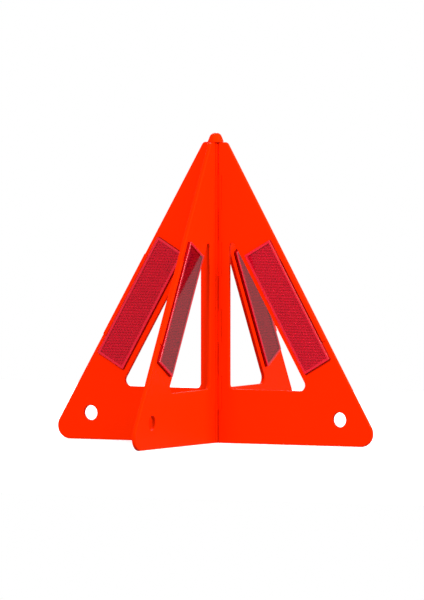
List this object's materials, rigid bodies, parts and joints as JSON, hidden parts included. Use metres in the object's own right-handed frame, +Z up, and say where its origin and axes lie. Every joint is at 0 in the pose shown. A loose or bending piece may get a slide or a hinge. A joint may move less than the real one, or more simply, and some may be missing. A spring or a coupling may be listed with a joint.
{
  "type": "warning triangle",
  "caption": "Free-standing roadside warning triangle of crossed orange half-triangle wings with windows, red reflector strips and hinged folding on a central spine.",
  "frame": {"origin": "on the spine's axis, at the floor that the wings' lower edges stand on", "axes": "+Z up along the spine; +X along the right wing; the right and left lenses face -Y, the front and rear lenses face +X"},
  "size_m": [0.2844, 0.2844, 0.2488],
  "materials": {
    "orange_plastic": "satin moulded orange-red",
    "red_reflector": "clear red acrylic, corner-cube faced behind",
    "pin_steel": "drawn wire"
  },
  "bodies": {
    "spine": {"spine": "orange_plastic", "top_cap": "orange_plastic", "right_hinge_pin": "pin_steel", "rear_hinge_pin": "pin_steel", "left_hinge_pin": "pin_steel", "front_hinge_pin": "pin_steel"},
    "right_wing": {"right_wing": "orange_plastic", "right_lens": "red_reflector"},
    "rear_wing": {"rear_wing": "orange_plastic", "rear_lens": "red_reflector"},
    "left_wing": {"left_wing": "orange_plastic", "left_lens": "red_reflector"},
    "front_wing": {"front_wing": "orange_plastic", "front_lens": "red_reflector"}
  },
  "joints": [
    {"name": "right_wing_fold", "type": "hinge", "parent": "spine", "child": "right_wing", "pos_m": [0.00453, 0, 0], "axis": [0, 0, 1], "range_deg": [0, 45]},
    {"name": "rear_wing_fold", "type": "hinge", "parent": "spine", "child": "rear_wing", "pos_m": [0, 0.00453, 0], "axis": [0, 0, -1], "range_deg": [0, 45]},
    {"name": "left_wing_fold", "type": "hinge", "parent": "spine", "child": "left_wing", "pos_m": [-0.00453, 0, 0], "axis": [0, 0, 1], "range_deg": [0, 45]},
    {"name": "front_wing_fold", "type": "hinge", "parent": "spine", "child": "front_wing", "pos_m": [0, -0.00453, 0], "axis": [0, 0, -1], "range_deg": [0, 45]}
  ]
}
